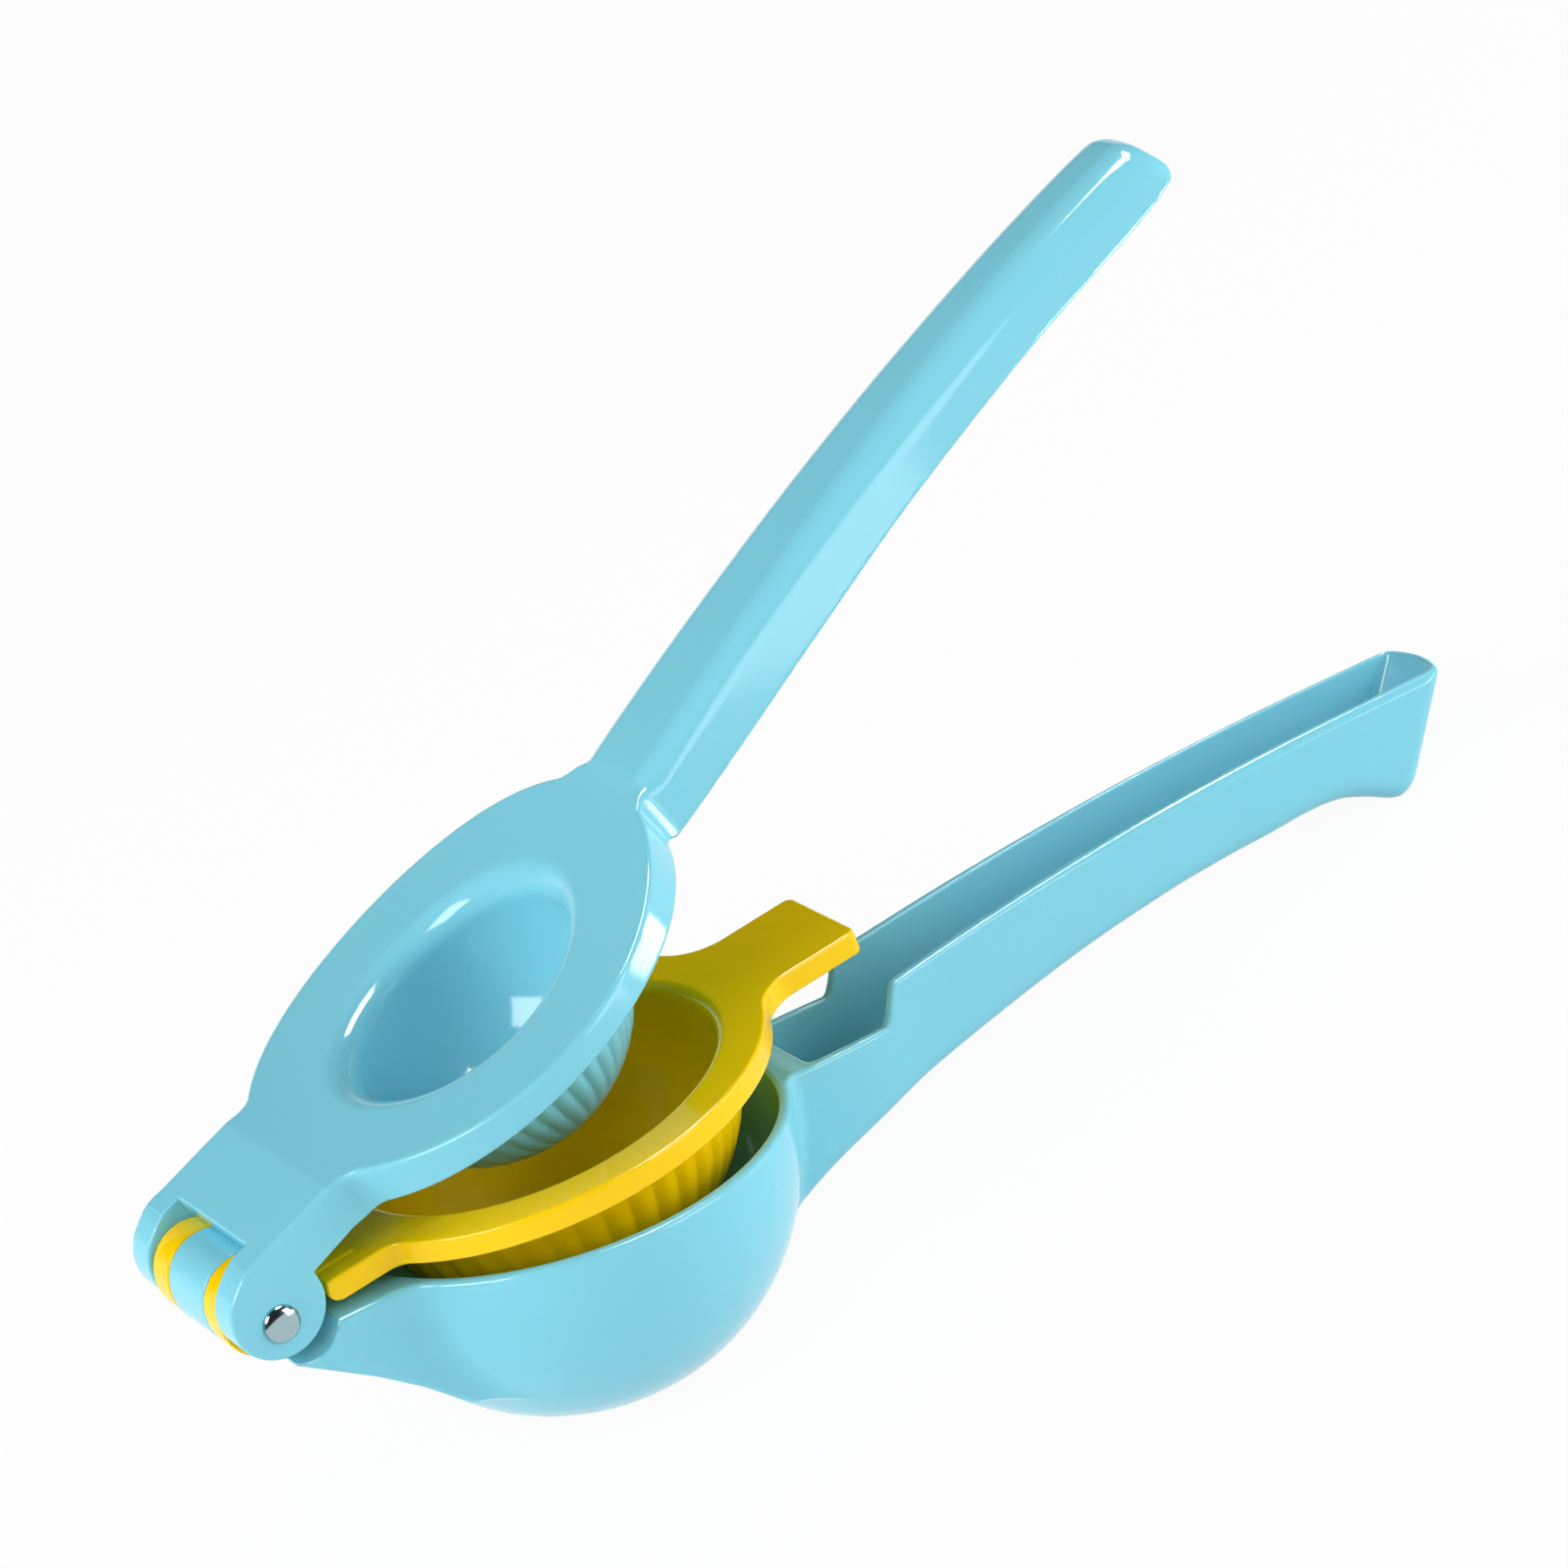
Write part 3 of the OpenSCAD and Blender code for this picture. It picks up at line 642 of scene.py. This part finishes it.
def lathe(name, outline, place, turns=96):
    """A solid turned about the Y axis from its outline, [radius, y] points from pole to pole."""
    points = [(0.0, outline[0][1], 0.0)]
    for r, y in outline[1:-1]:
        for k in range(turns):
            a = 2 * math.pi * k / turns
            points.append((r * math.cos(a), y, r * math.sin(a)))
    points.append((0.0, outline[-1][1], 0.0))
    rings = len(outline) - 2
    last = len(points) - 1
    faces = [(0, 1 + k, 1 + (k + 1) % turns) for k in range(turns)]
    for i in range(rings - 1):
        a, b = 1 + i * turns, 1 + (i + 1) * turns
        faces += [(a + k, b + k, b + (k + 1) % turns, a + (k + 1) % turns) for k in range(turns)]
    a = 1 + (rings - 1) * turns
    faces += [(a + k, last, a + (k + 1) % turns) for k in range(turns)]
    mesh = bpy.data.meshes.new(name)
    mesh.from_pydata([Vector(p) for p in points], [], faces)
    mesh.shade_smooth()
    mesh.transform(place)
    mesh.update()
    obj = bpy.data.objects.new(name, mesh)
    bpy.context.scene.collection.objects.link(obj)
    return obj


def dome_outline(face_y, out, steps=20):
    """Outline of a domed head from its crown to its rim, which lies on the plane at face_y."""
    points = []
    for k in range(steps + 1):
        a = 0.5 * math.pi * k / steps
        height = PIN_HEAD_H * math.cos(a) ** PIN_HEAD_POWER
        points.append((PIN_HEAD_R * math.sin(a), face_y + out * height))
    return points


# ---- Shader nodes ----


def noise(nodes, links, scale, detail=2):
    """Noise in the piece's own coordinates."""
    place = nodes.new("ShaderNodeTexCoord")
    node = nodes.new("ShaderNodeTexNoise")
    node.inputs["Scale"].default_value = scale
    node.inputs["Detail"].default_value = detail
    links.new(place.outputs["Object"], node.inputs["Vector"])
    return node.outputs["Fac"]


def ramp(nodes, links, value, low, high, low_color, high_color):
    """A colour that goes from one to the other as the value goes from low to high."""
    node = nodes.new("ShaderNodeValToRGB")
    first, last = node.color_ramp.elements
    first.position, last.position = low, high
    first.color, last.color = (*low_color, 1), (*high_color, 1)
    links.new(value, node.inputs["Fac"])
    return node.outputs["Color"]


def seen_by(nodes, links, *rays):
    """1 for the kinds of rays that are named, 0 for all others."""
    path = nodes.new("ShaderNodeLightPath")
    total = path.outputs[rays[0]]
    for ray in rays[1:]:
        either = nodes.new("ShaderNodeMath")
        either.operation = "MAXIMUM"
        links.new(total, either.inputs[0])
        links.new(path.outputs[ray], either.inputs[1])
        total = either.outputs["Value"]
    return total


def mix_shaders(nodes, links, share, first, second):
    """The second shader for its share, the first one for the rest."""
    both = nodes.new("ShaderNodeMixShader")
    links.new(share, both.inputs["Fac"])
    links.new(first, both.inputs[1])
    links.new(second, both.inputs[2])
    return both.outputs["Shader"]


# ---- Materials ----

BLUE, DEEP_BLUE = (0.215, 0.615, 0.745), (0.205, 0.6, 0.725)
YELLOW, DEEP_YELLOW = (0.95, 0.6, 0.0), (0.93, 0.585, 0.0)
# the steel's blue-green tint is a painted reflection of the blue castings round the pin
STEEL_PAINTED_TEAL_REFLECTION = (0.36, 0.49, 0.52)
TABLE_WHITE = (0.8, 0.8, 0.8)


def new_material(name, color, roughness, metallic=0.0):
    """A material and its surface shader."""
    material = bpy.data.materials.new(name)
    material.use_nodes = True
    shader = material.node_tree.nodes["Principled BSDF"]
    shader.inputs["Base Color"].default_value = (*color, 1)
    shader.inputs["Roughness"].default_value = roughness
    shader.inputs["Metallic"].default_value = metallic
    return material, shader


def enamel(name, color, deep):
    """Gloss enamel over a casting, with a faint drift of colour and a slight waviness."""
    material, shader = new_material(name, color, roughness=0.1)
    shader.inputs["Specular IOR Level"].default_value = 0.25
    nodes, links = material.node_tree.nodes, material.node_tree.links
    drift = noise(nodes, links, scale=18, detail=3)
    tint = ramp(nodes, links, drift, 0.3, 0.7, deep, color)
    links.new(tint, shader.inputs["Base Color"])
    bump = nodes.new("ShaderNodeBump")
    bump.inputs["Strength"].default_value = 0.03
    bump.inputs["Distance"].default_value = 0.0004
    links.new(noise(nodes, links, scale=420), bump.inputs["Height"])
    links.new(bump.outputs["Normal"], shader.inputs["Normal"])
    return material


def pin_steel():
    """Polished steel, in places a little duller, with a blue-green tint in its colour that is a
    painted reflection of the blue castings round the pin.
    """
    material, shader = new_material("pin_steel", STEEL_PAINTED_TEAL_REFLECTION, roughness=0.12, metallic=1.0)
    nodes, links = material.node_tree.nodes, material.node_tree.links
    span = nodes.new("ShaderNodeMapRange")
    span.inputs["To Min"].default_value = 0.08
    span.inputs["To Max"].default_value = 0.2
    links.new(noise(nodes, links, scale=900), span.inputs["Value"])
    links.new(span.outputs["Result"], shader.inputs["Roughness"])
    return material


# ---- Studio ----

FILL_LIGHT = 0.2
# gloss sees a room that goes from dark above and behind the camera to white behind and below the part
ROOM_DIRECTION = (0, 1, -2)
ROOM_DARK, ROOM_WHITE = (0.03, 0.03, 0.03), (1, 1, 1)
ROOM_FROM, ROOM_TO = 0.25, 0.7

SOFT_BOX_SIZE, SOFT_BOX_DISTANCE = 0.7, 1.3
SOFT_BOX_AIM = Vector((0.03, 0, 0.04))

FLOOR_HALF, FLOOR_Z, FLOOR_GLOW = 3.0, -0.0002, 0.94


def backdrop():
    """Even fill light, white for the camera, and for gloss a room that is white behind the part."""
    world = bpy.data.worlds.new("studio")
    bpy.context.scene.world = world
    world.use_nodes = True
    nodes, links = world.node_tree.nodes, world.node_tree.links
    fill = nodes["Background"]
    fill.inputs["Color"].default_value = (1, 1, 1, 1)
    fill.inputs["Strength"].default_value = FILL_LIGHT

    place = nodes.new("ShaderNodeTexCoord")
    towards = nodes.new("ShaderNodeVectorMath")
    towards.operation = "DOT_PRODUCT"
    towards.inputs[1].default_value = ROOM_DIRECTION
    links.new(place.outputs["Generated"], towards.inputs[0])
    room = nodes.new("ShaderNodeBackground")
    color = ramp(nodes, links, towards.outputs["Value"], ROOM_FROM, ROOM_TO, ROOM_DARK, ROOM_WHITE)
    links.new(color, room.inputs["Color"])
    white = nodes.new("ShaderNodeBackground")
    white.inputs["Color"].default_value = (1, 1, 1, 1)

    gloss = seen_by(nodes, links, "Is Glossy Ray")
    clear = seen_by(nodes, links, "Is Camera Ray", "Is Transmission Ray")
    shown = mix_shaders(nodes, links, gloss, fill.outputs["Background"], room.outputs["Background"])
    shown = mix_shaders(nodes, links, clear, shown, white.outputs["Background"])
    links.new(shown, nodes["World Output"].inputs["Surface"])


def area_light(name, place, aim, width, height, power):
    """A rectangular light at a place, facing the point that it aims at."""
    data = bpy.data.lights.new(name, "AREA")
    data.shape = "RECTANGLE"
    data.size, data.size_y = width, height
    data.energy = power
    lamp = bpy.data.objects.new(name, data)
    bpy.context.scene.collection.objects.link(lamp)
    lamp.location = place
    lamp.rotation_euler = (Vector(aim) - Vector(place)).to_track_quat("-Z", "Y").to_euler()
    return lamp


def soft_box(name, direction, power, distance=SOFT_BOX_DISTANCE):
    """A square soft box facing the squeezer from a direction. It lights, and gloss doesn't show it."""
    place = SOFT_BOX_AIM + Vector(direction).normalized() * distance
    lamp = area_light(name, place, SOFT_BOX_AIM, SOFT_BOX_SIZE, SOFT_BOX_SIZE, power)
    lamp.visible_glossy = False


def card(name, place, aim, width, height, radiance):
    """A reflection card: gloss shows it, and it lights nothing else."""
    lamp = area_light(name, place, aim, width, height, radiance * math.pi * width * height)
    lamp.visible_camera = False
    lamp.visible_diffuse = False
    return lamp


def lights():
    """Soft boxes round the squeezer, and cards for the highlights that the photograph shows."""
    soft_box("left", (-1, 0, 0.15), 6.4)
    soft_box("left_high", (-0.8, 0.1, 0.6), 7.8)
    soft_box("front_left_high", (-0.5, -0.6, 0.65), 4.4)
    soft_box("front_right", (0.7, -0.7, 0.2), 6.3, distance=1.0)
    soft_box("right", (1, -0.1, 0.2), 6.2)
    soft_box("top", (0.05, 0, 1), 1.4)

    # bright lines along the castings' top edges
    overhead = card("overhead_card", (0.64, -0.07, 1.05), (0.64, -0.07, 0), 0.82, 0.36, 42)
    overhead.rotation_euler.z = math.radians(48)
    # patches in the press's recess and on its lip, on the flange's side, and on the pin's head
    card("window_card", (-0.8, -0.33, 0.77), (0.03, 0, 0.05), 0.6, 0.48, 18)
    card("table_card", (0.24, -0.1, 0.003), (0.24, -0.1, 1), 0.09, 0.12, 22)
    card("pin_card", (0.12, -0.2, 0.04), (-0.05, -0.02, 0.05), 0.12, 0.2, 6)


def floor():
    """White table that takes a shadow, and is otherwise as white as the backdrop."""
    mesh = bpy.data.meshes.new("floor")
    s = FLOOR_HALF
    mesh.from_pydata([(-s, -s, 0), (s, -s, 0), (s, s, 0), (-s, s, 0)], [], [(0, 1, 2, 3)])
    obj = bpy.data.objects.new("floor", mesh)
    bpy.context.scene.collection.objects.link(obj)
    obj.location.z = FLOOR_Z
    material, shader = new_material("floor_white", TABLE_WHITE, roughness=0.6)
    nodes, links = material.node_tree.nodes, material.node_tree.links
    glow = nodes.new("ShaderNodeEmission")
    share = nodes.new("ShaderNodeMath")
    share.operation = "MULTIPLY"
    share.inputs[1].default_value = FLOOR_GLOW
    seen = seen_by(nodes, links, "Is Camera Ray", "Is Glossy Ray", "Is Transmission Ray")
    links.new(seen, share.inputs[0])
    lit, white = shader.outputs["BSDF"], glow.outputs["Emission"]
    shown = mix_shaders(nodes, links, share.outputs["Value"], lit, white)
    links.new(shown, nodes["Material Output"].inputs["Surface"])
    mesh.materials.append(material)


# ---- Squeezer ----

CELL, QUICK_CELL, CUP_CELL_SHARE = 0.46, 0.8, 0.8
# corners of the closed millimetres that each casting is looked for in
LOWER_BOX = (-9, -40, -45), (226, 40, 11)
CUP_BOX = (-9, -40, -33), (112, 40, 9)
PRESS_BOX = (-9, -40, -26), (226, 40, 23)
SHAFT_SHORT = 0.1


def dress(obj, material, body, node):
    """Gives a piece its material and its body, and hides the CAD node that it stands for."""
    obj.data.materials.append(material)
    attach(obj, body)
    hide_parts(node)


def squeezer():
    """The three castings, the pin and its cap."""
    blue = enamel("blue_enamel", BLUE, DEEP_BLUE)
    yellow = enamel("yellow_enamel", YELLOW, DEEP_YELLOW)
    steel = pin_steel()
    cell = CELL
    lower_place, cup_place = swung(0), swung(CUP_OPEN)
    press_place = swung(CUP_OPEN + PRESS_OPEN)

    lower = cast("lower_body_cast", lower_solid, *LOWER_BOX, cell, lower_place)
    dress(lower, blue, "lower", "lower_body")
    cup = cast("lime_cup_cast", cup_solid, *CUP_BOX, cell * CUP_CELL_SHARE, cup_place)
    dress(cup, yellow, "cup", "lime_cup")
    press = cast("press_cast", press_solid, *PRESS_BOX, cell, press_place)
    dress(press, blue, "press_arm", "press")

    face = HINGE_HALF + PIN_FIT
    shaft_end = HINGE_HALF - SHAFT_SHORT
    shaft = [(PIN_R, -face), (PIN_R, shaft_end), (0, shaft_end)]
    pin = lathe("hinge_pin_steel", dome_outline(-face, -1) + shaft, press_place)
    dress(pin, steel, "press_arm", "hinge_pin")
    cap = lathe("pin_cap_steel", dome_outline(face, 1) + [(0, face)], press_place)
    dress(cap, steel, "press_arm", "pin_cap")


scene = bpy.context.scene
scene.view_settings.view_transform = "Standard"
make_camera()
backdrop()
lights()
floor()
squeezer()
